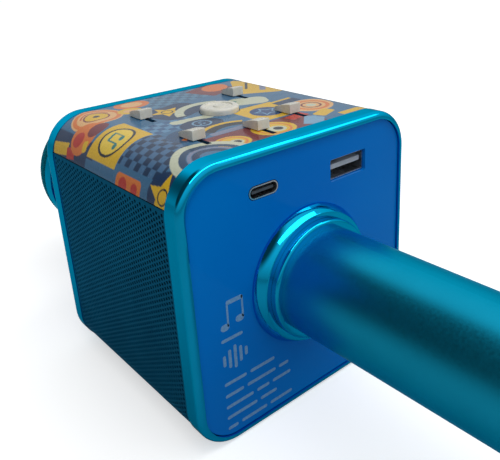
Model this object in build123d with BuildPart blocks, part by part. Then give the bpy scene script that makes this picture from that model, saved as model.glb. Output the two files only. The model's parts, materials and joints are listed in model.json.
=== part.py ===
from build123d import *
import os
from math import sqrt

# Handheld karaoke microphone with a cube loudspeaker in its middle. Millimetres.
# It lies on the flat back of the cube: +Z comes up out of the control face, +Y runs along
# the microphone from the handle's end to the tip of the head, and X runs across it.

os.makedirs("parts", exist_ok=True)

# ---- Driving dimensions ----------------------------------------------------------------

CUBE = 77.0                 # width and height of the speaker cube
CUBE_LENGTH = 72.0          # along the microphone
CUBE_CORNER = 12.0          # radius of its four long edges
HANDLE_LENGTH = 116.0       # from the cube to the end cap's tip
HEAD_LENGTH = 72.0          # from the cube to the tip of the head
HANDLE_R = 14.5
SEAT_R = 14.2               # handle tube and neck where they pass through their rings
OVERLAP = 0.2               # how far joined volumes reach into each other
SLACK = 0.1                 # small assembly clearance

AXIS_Z = CUBE / 2           # height of the microphone's axis above the back of the cube
FACE_NEAR = (HANDLE_LENGTH - HEAD_LENGTH - CUBE_LENGTH) / 2     # end face on the handle's side
FACE_FAR = FACE_NEAR + CUBE_LENGTH                              # end face on the head's side
MIDDLE = FACE_NEAR + CUBE_LENGTH / 2
HANDLE_TIP = FACE_NEAR - HANDLE_LENGTH
HEAD_TIP = FACE_FAR + HEAD_LENGTH

# End frames: a bright rim, a bulkhead behind the inset panel, and a tongue under the covers
STRIP = 5.5                 # visible length of the rim
LIP = 73.0                  # opening that the panel sits in
RIM_ROUND = 1.8
RECESS = 0.7                # panel's face below the rim
PANEL_T = 1.5
WALL_T = 2.5
TONGUE = 73.9
TONGUE_WALL = 1.6
TONGUE_LENGTH = 3.5
BULKHEAD = CUBE - 2         # width that reaches into the rim on every side
PANEL_GAP = 0.15            # between the panel and the rim, and the panel and the collar's hole
WALL_FRONT = RECESS + PANEL_T
WALL_BACK = WALL_FRONT + WALL_T
FRAME_DEPTH = STRIP + TONGUE_LENGTH

# Covers between the two frames
COVER = 76.7
COVER_T = 1.35
COVER_EDGE = 28.9           # height above the axis where the printed cover ends
GRILLE = 76.5
GRILLE_T = 1.0
SEAM = 0.3
COVER_TOP = COVER / 2       # above the axis
COVER_UNDER = COVER_TOP - COVER_T

# Cabinet that carries the loudspeakers
CABINET = 73.8
CABINET_T = 1.6
CABINET_TOP = 23.1          # above the axis
SCREW_XZ = 31.5             # corner screws, from the axis
POST_R = 3.6
FRAME_BOSS_R = 3.2
SCREW_R = 1.25
SCREW_HEAD_R = 2.3
SCREW_HEAD_T = 1.6
SCREW_HEAD_GAP = 0.1
FRAME_SCREW_LENGTH = 12.0

# Boards
BOARD_T = 1.2
CONTROL_BOARD_Z = 30.6      # underside, above the axis
MAIN_BOARD_Z = 24.9
CONTROL_BOARD_SIZE = (54.0, 56.0)
MAIN_BOARD_SIZE = (60.0, 46.0)
BOARD_CORNER = 2.0
BOSS_X, BOSS_Y = 25.2, 24.0
STANDOFF_X, STANDOFF_Y = 26.0, 17.0
BOSS_R = 2.5
BOARD_SCREW_LENGTH = 5.0
STANDOFF_SCREW_LENGTH = 2.9

# Ports in the near end panel
USB_C_X, USB_C_Z = -13.8, 27.8
USB_C_W, USB_C_H = 8.94, 3.26
USB_C_DEPTH = 7.4
USB_C_TONGUE = (6.69, 0.7)
USB_C_TONGUE_SETBACK = 0.5  # behind the shell's mouth
USB_A_X, USB_A_Z = 15.6, 26.2
USB_A_W, USB_A_H = 13.1, 5.7
USB_A_DEPTH = 13.0
USB_A_SETBACK = 0.9         # shell's mouth behind the panel's face
USB_A_TONGUE = (11.1, 1.3)
USB_A_TONGUE_RISE = 0.5     # above the port's middle
USB_A_TONGUE_SETBACK = 0.4
USB_A_CORNER = 0.5
SHELL_T = 0.3
PORT_GAP = 0.2              # between a port's shell and the hole in the panel
PORT_RISE = 0.05            # USB-C shell in front of the panel's face
BOARD_NOTCH_GAP = 0.2       # between the USB-A shell and the notch in the board

# Power button
BUTTON_R = 5.6
BUTTON_GAP = 0.25
BUTTON_RISE = 1.7           # above the cover
BUTTON_TRAVEL = 0.6
BUTTON_ROUND = 0.8
DISH_R, DISH_MIDDLE_R = 3.9, 1.6    # ring-shaped dish in the button's top
DISH_DEPTH, DISH_TAPER = 0.3, 30.0
FLANGE_R = 6.6
FLANGE_T = 0.8
SWITCH = 6.0
SWITCH_T = 2.0
PLUNGER_R = 1.7
PLUNGER_GAP = 0.3           # between the pressed plunger and the switch's top
SWITCH_FLOOR = 0.5

# Slide controls: x, and y of the knob's front face from the middle of the cube
CONTROLS = {
    "music_volume": (-18.6, 8.7),
    "mic_volume": (14.5, 10.0),
    "bass": (-20.1, -19.2),
    "treble": (11.9, -19.0),
    "echo": (-4.0, -24.6),
}
KNOB_W = 3.8
KNOB_LENGTH = 7.6
KNOB_RISE = 2.5
KNOB_TAIL = 0.5             # height of the knob's low far end
KNOB_FLAT = 0.5             # length of the knob's flat top
KNOB_BEND = (0.58, 0.70)    # point on the curved slope, as shares of the knob's length and height
KNOB_FLOAT = 0.25           # between the knob and the cover
KNOB_TRAVEL = 6.0
STEM_W, STEM_L = 1.0, 2.0
STEM_SETBACK = 3.0          # stem's middle behind the knob's front face
SLOT_W = 1.5
SLOT_END = 0.3              # slot beyond the stem at each end of its travel
RIM_SLOT_GAP = 0.3          # round the slot where the rim's tongue is cut for it
POT_W, POT_T = 4.6, 3.4
POT_END = 1.0               # pot beyond its slot at each end
POT_FLOOR = 1.0
STEM_LIFT = 0.4             # stem's foot above the pot's floor

# Handle and head, turned about the microphone's axis
COLLAR_R = 19.4
COLLAR_FRONT_R = 17.8
COLLAR_T = 3.0              # in front of the rim
COLLAR_BASE = 0.1           # straight part in front of the rim
COLLAR_CROWN = (1.5, 0.62)  # point on the sloping side: in front of the rim, and inside the full radius
COLLAR_ROUND = 0.4          # front edge
COLLAR_STEP = 0.8           # depth of the seat that the ferrule sits in
COLLAR_SEAT_GAP = 0.05
FERRULE_R = 16.4
FERRULE_T = 5.2
FERRULE_ROUND = 0.8         # length of its rounded front edge
FERRULE_DROP = 1.0          # and how far it comes in
TUBE_T = 1.2
WALL_HOLE_R = 13.4
CORE_R = 13.25
CORE_FLANGE_R = 18.0
CORE_FLANGE_T = 2.0
CORE_SCREW_PCD = 31.0
BALL_R = 24.0
NECK_R = 17.6
MESH_T = 0.8
BAND_W = 5.0
CELL_R, CELL_LENGTH = 7.1, 50.0
CELL_TIP_R, CELL_TIP_T = 2.6, 1.0
BORE_R = 4.0                # wire passage through the cores
CORE_WALL_R = 9.2           # outside of the core's tube round the cell
CORE_SEAT = 8.0             # length of the core that fills the tube at the cube
CORE_FOOT = 6.0             # and at its far end
CORE_FLOOR = 1.5
END_RING_START, END_RING_END = 3.4, 6.0     # from the handle's tip
CAP_R = 14.3
CAP_ROUND = 2.5
CAP_PLUG = 14.0             # reach of the cap into the tube, from the tip
CAP_PLUG_T = 1.6
CAP_FLOOR = 4.5
HEAD_CORE_SEAT = 10.0
HEAD_STEM_R = 7.0
CAPSULE_R, CAPSULE_T = 4.85, 7.0
CAPSULE_GAP = 0.05
MOUNT_R, MOUNT_BACK, MOUNT_FRONT = 8.5, 6.0, 3.0    # rubber mount, from the capsule's place
MOUNT_FLOOR = 2.3
FOAM_GAP = 1.7              # foam below the ball's surface

# Loudspeakers, turned about a crosswise axis
SPEAKER_Z = -3.0            # from the microphone's axis
SPEAKER_HOLE_R = 21.0

MIC_AXIS = Axis((0, 0, AXIS_Z), (0, 1, 0))
AXIAL = Plane(origin=(0, 0, AXIS_Z), x_dir=(0, 1, 0), z_dir=(1, 0, 0))
CORNERS = [(x, z) for x in (-SCREW_XZ, SCREW_XZ) for z in (-SCREW_XZ, SCREW_XZ)]


def station(y):
    """The plane across the microphone at y: its x is X and its y is the height above the axis."""
    return Plane(origin=(0, y, AXIS_Z), x_dir=(1, 0, 0), z_dir=(0, -1, 0))


def level(z):
    """The horizontal plane at a height above the axis, centred on the cube."""
    return Plane(origin=(0, MIDDLE, AXIS_Z + z), x_dir=(1, 0, 0), z_dir=(0, 0, 1))


def corner_radius(width):
    """The corner radius that keeps a smaller square parallel to the cube's outline."""
    return CUBE_CORNER - (CUBE - width) / 2


def square(width, mode=Mode.ADD):
    RectangleRounded(width, width, corner_radius(width), mode=mode)


def turned(points):
    """A ring or cup turned about the microphone's axis from points (y, radius)."""
    with BuildPart() as piece:
        with BuildSketch(AXIAL):
            with BuildLine():
                Polyline(points, close=True)
            make_face()
        revolve(axis=MIC_AXIS)
    return piece


def screws(plane, places, length, head=-1):
    """Pan-head screws with heads on the plane; head is the side of the plane they stand on."""
    with BuildPart() as group:
        with BuildSketch(plane):
            with Locations(*places):
                Circle(SCREW_HEAD_R)
        extrude(amount=head * SCREW_HEAD_T)
        with BuildSketch(plane):
            with Locations(*places):
                Circle(SCREW_R)
        extrude(amount=-head * length)
    return group


# ---- End frames and panels -------------------------------------------------------------

SLOT_LENGTH = KNOB_TRAVEL + STEM_L + 2 * SLOT_END


def slot_middle(front_y):
    """Middle of a control's slot, for a knob that rests at the slot's far end."""
    return front_y + STEM_SETBACK - KNOB_TRAVEL / 2


def port_holes():
    """Outlines of the holes for both ports, on the near end face."""
    with BuildSketch(station(FACE_NEAR)) as holes:
        with Locations((USB_C_X, USB_C_Z)):
            SlotOverall(USB_C_W + 2 * PORT_GAP, USB_C_H + 2 * PORT_GAP)
        with Locations((USB_A_X, USB_A_Z)):
            RectangleRounded(USB_A_W + 2 * PORT_GAP, USB_A_H + 2 * PORT_GAP, USB_A_CORNER)
    return holes.sketch


def end_frame(face, inward, has_ports):
    """Rim, bulkhead and tongue; inward is +1 on the handle's end and -1 on the head's end."""
    with BuildPart() as frame:
        with BuildSketch(station(face)):
            square(CUBE)
            square(LIP, Mode.SUBTRACT)
        extrude(amount=-inward * STRIP)
        rim_face = frame.faces().sort_by(Axis.Y)[0 if inward > 0 else -1]
        fillet(rim_face.outer_wire().edges(), RIM_ROUND)
        with BuildSketch(station(face + inward * WALL_FRONT)):
            square(BULKHEAD)
        extrude(amount=-inward * WALL_T)
        with BuildSketch(station(face + inward * (WALL_BACK - OVERLAP))):
            square(TONGUE)
            square(TONGUE - 2 * TONGUE_WALL, Mode.SUBTRACT)
        extrude(amount=-inward * (FRAME_DEPTH - WALL_BACK + OVERLAP))
        with BuildSketch(station(face + inward * WALL_BACK)):
            with Locations(*CORNERS):
                Circle(FRAME_BOSS_R)
        extrude(amount=-inward * (FRAME_DEPTH - WALL_BACK))
        with BuildSketch(station(face)):
            Circle(WALL_HOLE_R)
            with PolarLocations(CORE_SCREW_PCD / 2, 4, start_angle=45):
                Circle(SCREW_R)
            with Locations(*CORNERS):
                Circle(SCREW_R)
        extrude(amount=-inward * FRAME_DEPTH, mode=Mode.SUBTRACT)
        with BuildSketch(station(face + inward * WALL_FRONT)):
            with Locations(*CORNERS):
                Circle(SCREW_HEAD_R + SCREW_HEAD_GAP)
        extrude(amount=-inward * SCREW_HEAD_T, mode=Mode.SUBTRACT)
        if has_ports:
            extrude(port_holes(), amount=-WALL_BACK, mode=Mode.SUBTRACT)
            with BuildSketch(level(COVER_UNDER)):
                with Locations((CONTROLS["echo"][0], slot_middle(CONTROLS["echo"][1]))):
                    Rectangle(SLOT_W + 2 * RIM_SLOT_GAP, SLOT_LENGTH + 2 * RIM_SLOT_GAP)
            extrude(amount=-TONGUE_LENGTH, mode=Mode.SUBTRACT)
    return frame


def inset_panel(face, inward, has_ports):
    """Glossy panel that lies in the rim, with a hole for the handle or the head's neck."""
    with BuildPart() as panel:
        with BuildSketch(station(face + inward * RECESS)):
            square(LIP - 2 * PANEL_GAP)
            Circle(HANDLE_R + 2 * PANEL_GAP, mode=Mode.SUBTRACT)
        extrude(amount=-inward * PANEL_T)
        if has_ports:
            extrude(port_holes(), amount=-WALL_FRONT, mode=Mode.SUBTRACT)
    return panel


near_frame = end_frame(FACE_NEAR, 1, True)
far_frame = end_frame(FACE_FAR, -1, False)
end_panel = inset_panel(FACE_NEAR, 1, True)
head_panel = inset_panel(FACE_FAR, -1, False)


# ---- Printed front cover and wrap-round grille -----------------------------------------

SHEET_START = FACE_NEAR + STRIP
SHEET_LENGTH = CUBE_LENGTH - 2 * STRIP

with BuildPart() as front_cover:
    with BuildSketch(station(SHEET_START)):
        square(COVER)
        square(COVER - 2 * COVER_T, Mode.SUBTRACT)
        with Locations((0, COVER_EDGE - CUBE)):
            Rectangle(2 * CUBE, 2 * CUBE, mode=Mode.SUBTRACT)
    extrude(amount=-SHEET_LENGTH)
    with BuildSketch(station(FACE_NEAR + FRAME_DEPTH)):
        with Locations(*[(x, z) for x, z in CORNERS if z > 0]):
            Circle(POST_R)
            Circle(SCREW_R, mode=Mode.SUBTRACT)
    extrude(amount=-(CUBE_LENGTH - 2 * FRAME_DEPTH))
    with BuildSketch(level(COVER_UNDER + OVERLAP)):
        with GridLocations(2 * BOSS_X, 2 * BOSS_Y, 2, 2):
            Circle(BOSS_R)
    extrude(amount=-(COVER_UNDER + OVERLAP - CONTROL_BOARD_Z - BOARD_T))
    with BuildSketch(level(CONTROL_BOARD_Z + BOARD_T)):
        with GridLocations(2 * BOSS_X, 2 * BOSS_Y, 2, 2):
            Circle(SCREW_R)
    extrude(amount=BOARD_SCREW_LENGTH - BOARD_T, mode=Mode.SUBTRACT)
    with BuildSketch(level(COVER_TOP)):
        Circle(BUTTON_R + BUTTON_GAP)
        for x, front_y in CONTROLS.values():
            with Locations((x, slot_middle(front_y))):
                Rectangle(SLOT_W, SLOT_LENGTH)
    extrude(amount=-2 * COVER_T, mode=Mode.SUBTRACT)

with BuildPart() as speaker_grille:
    with BuildSketch(station(SHEET_START)):
        square(GRILLE)
        square(GRILLE - 2 * GRILLE_T, Mode.SUBTRACT)
        with Locations((0, COVER_EDGE - SEAM + CUBE)):
            Rectangle(2 * CUBE, 2 * CUBE, mode=Mode.SUBTRACT)
    extrude(amount=-SHEET_LENGTH)


# ---- Cabinet and loudspeakers ----------------------------------------------------------

CABINET_START = FACE_NEAR + FRAME_DEPTH
CABINET_LENGTH = CUBE_LENGTH - 2 * FRAME_DEPTH


def cabinet_section(width, top):
    """A rounded square with its top cut flat."""
    with BuildSketch(station(CABINET_START)) as section:
        square(width)
        with Locations((0, top + CUBE)):
            Rectangle(2 * CUBE, 2 * CUBE, mode=Mode.SUBTRACT)
    return section.sketch


with BuildPart() as cabinet:
    extrude(cabinet_section(CABINET, CABINET_TOP), amount=-CABINET_LENGTH)
    extrude(cabinet_section(CABINET - 2 * CABINET_T, CABINET_TOP - CABINET_T), amount=-CABINET_LENGTH,
            mode=Mode.SUBTRACT)
    with BuildSketch(station(CABINET_START)):
        with Locations(*[(x, z) for x, z in CORNERS if z < 0]):
            Circle(POST_R)
            Circle(SCREW_R, mode=Mode.SUBTRACT)
    extrude(amount=-CABINET_LENGTH)
    with BuildSketch(level(CABINET_TOP)):
        with GridLocations(2 * STANDOFF_X, 2 * STANDOFF_Y, 2, 2):
            Circle(BOSS_R)
            Circle(SCREW_R, mode=Mode.SUBTRACT)
    extrude(amount=MAIN_BOARD_Z - CABINET_TOP)
    with BuildSketch(Plane(origin=(-CUBE, MIDDLE, AXIS_Z + SPEAKER_Z), x_dir=(0, 1, 0), z_dir=(1, 0, 0))):
        Circle(SPEAKER_HOLE_R)
    extrude(amount=2 * CUBE, mode=Mode.SUBTRACT)

SPEAKER_SEAT = CABINET / 2 - CABINET_T
SPEAKER_PLANE = Plane(origin=(0, MIDDLE, AXIS_Z + SPEAKER_Z), x_dir=(1, 0, 0), z_dir=(0, -1, 0))
SPEAKER_AXIS = Axis((0, MIDDLE, AXIS_Z + SPEAKER_Z), (1, 0, 0))
# Profiles as (distance behind the speaker's seat, radius)
BASKET = [(0, 21.2), (0, 23.5), (1.5, 23.5), (1.5, 21.5), (11.3, 15), (15.3, 15), (15.3, 6), (13.8, 6),
          (13.8, 13.5), (10.8, 13.5), (1.5, 19.8)]
CONE = [(0.2, 20.2), (0.9, 20.2), (1.3, 18.4), (10.2, 8.6), (7.2, 4.6), (6.0, 0), (5.4, 0), (6.7, 4.8), (9.4, 8.4),
        (0.9, 17.8)]
MAGNET = [(15.3, 14), (15.3, 0), (23.3, 0), (23.3, 14)]


def speaker_piece(profile, side):
    """One turned piece of the loudspeaker that faces out of the +X or -X side."""
    with BuildPart() as piece:
        with BuildSketch(SPEAKER_PLANE):
            with BuildLine():
                Polyline([(side * (SPEAKER_SEAT - depth), radius) for depth, radius in profile], close=True)
            make_face()
        revolve(axis=SPEAKER_AXIS)
    return piece


speakers = {}
for side_name, side in (("left", -1), ("right", 1)):
    speakers[f"speaker_basket_{side_name}"] = speaker_piece(BASKET, side)
    speakers[f"speaker_cone_{side_name}"] = speaker_piece(CONE, side)
    speakers[f"speaker_magnet_{side_name}"] = speaker_piece(MAGNET, side)


# ---- Control board, slide controls and power button ------------------------------------

with BuildPart() as control_board:
    with BuildSketch(level(CONTROL_BOARD_Z)):
        RectangleRounded(*CONTROL_BOARD_SIZE, BOARD_CORNER)
        with GridLocations(2 * BOSS_X, 2 * BOSS_Y, 2, 2):
            Circle(SCREW_R, mode=Mode.SUBTRACT)
    extrude(amount=BOARD_T)

with BuildPart() as slide_pots:
    for x, front_y in CONTROLS.values():
        with BuildSketch(level(CONTROL_BOARD_Z + BOARD_T)):
            with Locations((x, slot_middle(front_y))):
                Rectangle(POT_W, SLOT_LENGTH + 2 * POT_END)
        extrude(amount=POT_T)
        with BuildSketch(level(CONTROL_BOARD_Z + BOARD_T + POT_FLOOR)):
            with Locations((x, slot_middle(front_y))):
                Rectangle(SLOT_W, SLOT_LENGTH)
        extrude(amount=POT_T, mode=Mode.SUBTRACT)

KNOB_BASE = COVER_TOP + KNOB_FLOAT
KNOB_END = KNOB_LENGTH + SLACK
STEM_BOTTOM = CONTROL_BOARD_Z + BOARD_T + POT_FLOOR + STEM_LIFT


def slider_knob(x, front_y):
    """Wedge-shaped knob, flat and tall in front and low and round behind, on a thin stem."""
    front = MIDDLE + front_y
    shoulder = front + KNOB_LENGTH - KNOB_W / 2
    with BuildPart() as knob:
        with BuildSketch(Plane.XY.offset(AXIS_Z + KNOB_BASE)):
            with BuildLine():
                Line((x - KNOB_W / 2, shoulder), (x - KNOB_W / 2, front))
                Line((x - KNOB_W / 2, front), (x + KNOB_W / 2, front))
                Line((x + KNOB_W / 2, front), (x + KNOB_W / 2, shoulder))
                ThreePointArc((x + KNOB_W / 2, shoulder), (x, front + KNOB_LENGTH), (x - KNOB_W / 2, shoulder))
            make_face()
        extrude(amount=KNOB_RISE)
        with BuildSketch(Plane(origin=(x - KNOB_W, front, AXIS_Z + KNOB_BASE), x_dir=(0, 1, 0), z_dir=(1, 0, 0))):
            with BuildLine():
                bend = (KNOB_BEND[0] * KNOB_LENGTH, KNOB_BEND[1] * KNOB_RISE)
                ThreePointArc((KNOB_FLAT, KNOB_RISE), bend, (KNOB_END, KNOB_TAIL))
                Polyline([(KNOB_END, KNOB_TAIL), (KNOB_END, 2 * KNOB_RISE), (KNOB_FLAT, 2 * KNOB_RISE),
                          (KNOB_FLAT, KNOB_RISE)])
            make_face()
        extrude(amount=2 * KNOB_W, mode=Mode.SUBTRACT)
        with BuildSketch(Plane.XY.offset(AXIS_Z + STEM_BOTTOM)):
            with Locations((x, front + STEM_SETBACK)):
                Rectangle(STEM_W, STEM_L)
        extrude(amount=KNOB_BASE - STEM_BOTTOM)
    return knob


knobs = {f"{control}_knob": slider_knob(x, front_y) for control, (x, front_y) in CONTROLS.items()}

FLANGE_TOP = COVER_UNDER - SLACK
SWITCH_TOP = CONTROL_BOARD_Z + BOARD_T + SWITCH_T
PLUNGER_TOP = SWITCH_TOP + BUTTON_TRAVEL + PLUNGER_GAP
PLUNGER_FOOT = CONTROL_BOARD_Z + BOARD_T + SWITCH_FLOOR + BUTTON_TRAVEL + OVERLAP

with BuildPart() as power_button:
    with BuildSketch(level(PLUNGER_TOP)):
        Circle(PLUNGER_R)
    extrude(amount=FLANGE_TOP - FLANGE_T - PLUNGER_TOP)
    with BuildSketch(level(FLANGE_TOP - FLANGE_T)):
        Circle(FLANGE_R)
    extrude(amount=FLANGE_T)
    with BuildSketch(level(FLANGE_TOP)):
        Circle(BUTTON_R)
    extrude(amount=COVER_TOP + BUTTON_RISE - FLANGE_TOP)
    cap_face = power_button.faces().sort_by(Axis.Z)[-1]
    fillet(cap_face.outer_wire().edges(), BUTTON_ROUND)
    with BuildSketch(level(COVER_TOP + BUTTON_RISE)):
        Circle(DISH_R)
        Circle(DISH_MIDDLE_R, mode=Mode.SUBTRACT)
    extrude(amount=-DISH_DEPTH, taper=DISH_TAPER, mode=Mode.SUBTRACT)

with BuildPart() as switch_body:
    with BuildSketch(level(CONTROL_BOARD_Z + BOARD_T)):
        Rectangle(SWITCH, SWITCH)
    extrude(amount=SWITCH_T)
    with BuildSketch(level(CONTROL_BOARD_Z + BOARD_T + SWITCH_FLOOR)):
        Circle(PLUNGER_R + SLACK)
    extrude(amount=SWITCH_T, mode=Mode.SUBTRACT)

with BuildPart() as switch_plunger:
    with BuildSketch(level(PLUNGER_TOP)):
        Circle(PLUNGER_R)
    extrude(amount=-(PLUNGER_TOP - PLUNGER_FOOT))


# ---- Main board and ports --------------------------------------------------------------

BOARD_FRONT = FACE_NEAR + WALL_BACK + OVERLAP
USB_C_FRONT = FACE_NEAR + RECESS - PORT_RISE
USB_A_FRONT = FACE_NEAR + RECESS + USB_A_SETBACK
USB_A_BACK = USB_A_FRONT + USB_A_DEPTH

with BuildPart() as main_board:
    with BuildSketch(Plane.XY.offset(AXIS_Z + MAIN_BOARD_Z)):
        with Locations((0, BOARD_FRONT + MAIN_BOARD_SIZE[1] / 2)):
            RectangleRounded(*MAIN_BOARD_SIZE, BOARD_CORNER)
        with Locations((USB_A_X, BOARD_FRONT)):
            Rectangle(USB_A_W + 2 * BOARD_NOTCH_GAP, 2 * (USB_A_BACK + BOARD_NOTCH_GAP - BOARD_FRONT),
                      mode=Mode.SUBTRACT)
    extrude(amount=BOARD_T)
    with BuildSketch(level(MAIN_BOARD_Z)):
        with GridLocations(2 * STANDOFF_X, 2 * STANDOFF_Y, 2, 2):
            Circle(SCREW_R)
    extrude(amount=BOARD_T, mode=Mode.SUBTRACT)

with BuildPart() as usb_c_shell:
    with BuildSketch(station(USB_C_FRONT)):
        with Locations((USB_C_X, USB_C_Z)):
            SlotOverall(USB_C_W, USB_C_H)
    extrude(amount=-USB_C_DEPTH)
    with BuildSketch(station(USB_C_FRONT)):
        with Locations((USB_C_X, USB_C_Z)):
            SlotOverall(USB_C_W - 2 * SHELL_T, USB_C_H - 2 * SHELL_T)
    extrude(amount=-(USB_C_DEPTH - SHELL_T), mode=Mode.SUBTRACT)

with BuildPart() as usb_c_tongue:
    with BuildSketch(station(USB_C_FRONT + USB_C_TONGUE_SETBACK)):
        with Locations((USB_C_X, USB_C_Z)):
            Rectangle(*USB_C_TONGUE)
    extrude(amount=-(USB_C_DEPTH - SHELL_T - USB_C_TONGUE_SETBACK))

with BuildPart() as usb_a_shell:
    with BuildSketch(station(USB_A_FRONT)):
        with Locations((USB_A_X, USB_A_Z)):
            RectangleRounded(USB_A_W, USB_A_H, USB_A_CORNER)
    extrude(amount=-USB_A_DEPTH)
    with BuildSketch(station(USB_A_FRONT)):
        with Locations((USB_A_X, USB_A_Z)):
            Rectangle(USB_A_W - 2 * SHELL_T, USB_A_H - 2 * SHELL_T)
    extrude(amount=-(USB_A_DEPTH - SHELL_T), mode=Mode.SUBTRACT)

with BuildPart() as usb_a_tongue:
    with BuildSketch(station(USB_A_FRONT + USB_A_TONGUE_SETBACK)):
        with Locations((USB_A_X, USB_A_Z + USB_A_TONGUE_RISE)):
            Rectangle(*USB_A_TONGUE)
    extrude(amount=-(USB_A_DEPTH - SHELL_T - USB_A_TONGUE_SETBACK))


# ---- Handle ----------------------------------------------------------------------------

def collar(face, outward):
    """Bright ring around the handle or the neck, sloping in towards its flat front."""
    base = face - outward * RECESS
    shoulder = face + outward * COLLAR_BASE
    front = face + outward * COLLAR_T
    step = front - outward * COLLAR_STEP
    crown_y, crown_drop = COLLAR_CROWN
    with BuildPart() as ring:
        with BuildSketch(AXIAL):
            with BuildLine():
                Polyline([(shoulder, COLLAR_R), (base, COLLAR_R), (base, SEAT_R), (step, SEAT_R),
                          (step, FERRULE_R + COLLAR_SEAT_GAP), (front, FERRULE_R + COLLAR_SEAT_GAP),
                          (front, COLLAR_FRONT_R)])
                ThreePointArc((front, COLLAR_FRONT_R), (face + outward * crown_y, COLLAR_R - crown_drop),
                              (shoulder, COLLAR_R))
            make_face()
        revolve(axis=MIC_AXIS)
        front_edges = ring.edges().filter_by(GeomType.CIRCLE).filter_by_position(Axis.Y, front, front)
        fillet(front_edges.sort_by(SortBy.RADIUS)[-1], COLLAR_ROUND)
    return ring


def ferrule(face, outward):
    """Second, smaller ring that steps down to the tube."""
    back = face + outward * (COLLAR_T - COLLAR_STEP)
    front = face + outward * FERRULE_T
    with BuildPart() as ring:
        with BuildSketch(AXIAL):
            with BuildLine():
                Polyline([(front, FERRULE_R - FERRULE_DROP), (front, SEAT_R), (back, SEAT_R), (back, FERRULE_R),
                          (front - outward * FERRULE_ROUND, FERRULE_R)])
                ThreePointArc((front - outward * FERRULE_ROUND, FERRULE_R),
                              (front - outward * 0.3 * FERRULE_ROUND, FERRULE_R - 0.3 * FERRULE_DROP),
                              (front, FERRULE_R - FERRULE_DROP))
            make_face()
        revolve(axis=MIC_AXIS)
    return ring


TUBE_INNER_R = HANDLE_R - TUBE_T
TUBE_END = HANDLE_TIP + END_RING_END
GRIP_START = FACE_NEAR - FERRULE_T
CELL_START = FACE_NEAR - 10
CELL_END = CELL_START - CELL_LENGTH
CORE_END = CELL_END - 10
CORE_BACK = FACE_NEAR + WALL_BACK
CELL_BORE_R = CELL_R + SLACK

collar_ring = collar(FACE_NEAR, -1)
handle_ferrule = ferrule(FACE_NEAR, -1)
handle_tube = turned([(FACE_NEAR + WALL_FRONT, TUBE_INNER_R), (FACE_NEAR + WALL_FRONT, SEAT_R), (GRIP_START, SEAT_R),
                      (GRIP_START, HANDLE_R), (TUBE_END, HANDLE_R), (TUBE_END, TUBE_INNER_R)])
battery_cell = turned([(CELL_START, 0), (CELL_START, CELL_TIP_R), (CELL_START - CELL_TIP_T, CELL_TIP_R),
                       (CELL_START - CELL_TIP_T, CELL_R), (CELL_END, CELL_R), (CELL_END, 0)])
handle_end_ring = turned([(TUBE_END, TUBE_INNER_R), (TUBE_END, HANDLE_R),
                          (HANDLE_TIP + END_RING_START, HANDLE_R), (HANDLE_TIP + END_RING_START, TUBE_INNER_R)])

with BuildPart() as handle_core:
    with BuildSketch(AXIAL):
        with BuildLine():
            Polyline([(CORE_BACK + CORE_FLANGE_T, BORE_R), (CORE_BACK + CORE_FLANGE_T, CORE_FLANGE_R),
                      (CORE_BACK, CORE_FLANGE_R), (CORE_BACK, CORE_R), (CORE_BACK - CORE_SEAT, CORE_R),
                      (CORE_BACK - CORE_SEAT, CORE_WALL_R), (CORE_END + CORE_FOOT, CORE_WALL_R),
                      (CORE_END + CORE_FOOT, CORE_R), (CORE_END, CORE_R), (CORE_END, BORE_R),
                      (CORE_END + CORE_FLOOR, BORE_R), (CORE_END + CORE_FLOOR, CELL_BORE_R),
                      (CELL_START, CELL_BORE_R), (CELL_START, BORE_R)], close=True)
        make_face()
    revolve(axis=MIC_AXIS)
    with BuildSketch(station(CORE_BACK + CORE_FLANGE_T)):
        with PolarLocations(CORE_SCREW_PCD / 2, 4, start_angle=45):
            Circle(SCREW_R)
    extrude(amount=CORE_FLANGE_T, mode=Mode.SUBTRACT)

with BuildPart() as handle_end_cap:
    cap_back = HANDLE_TIP + END_RING_START
    with BuildSketch(AXIAL):
        with BuildLine():
            Line((HANDLE_TIP, 0), (HANDLE_TIP, CAP_R - CAP_ROUND))
            RadiusArc((HANDLE_TIP, CAP_R - CAP_ROUND), (HANDLE_TIP + CAP_ROUND, CAP_R), -CAP_ROUND)
            Polyline([(HANDLE_TIP + CAP_ROUND, CAP_R), (cap_back, CAP_R), (cap_back, TUBE_INNER_R),
                      (HANDLE_TIP + CAP_PLUG, TUBE_INNER_R), (HANDLE_TIP + CAP_PLUG, TUBE_INNER_R - CAP_PLUG_T),
                      (HANDLE_TIP + CAP_FLOOR, TUBE_INNER_R - CAP_PLUG_T), (HANDLE_TIP + CAP_FLOOR, 0),
                      (HANDLE_TIP, 0)])
        make_face()
    revolve(axis=MIC_AXIS)


# ---- Microphone head -------------------------------------------------------------------

BALL_Y = HEAD_TIP - BALL_R
BAND_BACK, BAND_FRONT = BALL_Y - BAND_W, BALL_Y
NECK_START = FACE_FAR - WALL_FRONT
INNER_BALL_R = BALL_R - MESH_T
FOAM_T = 2.5
FOAM_R = BALL_R - FOAM_GAP
LOWER_DROP = 0.3            # lower mesh inside the ball's surface
BAND_T = 1.6


def ball_y(radius, ball_radius=BALL_R, side=-1):
    """Where a sphere about the ball's centre has a given radius about the axis."""
    return BALL_Y + side * sqrt(ball_radius ** 2 - radius ** 2)


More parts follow.
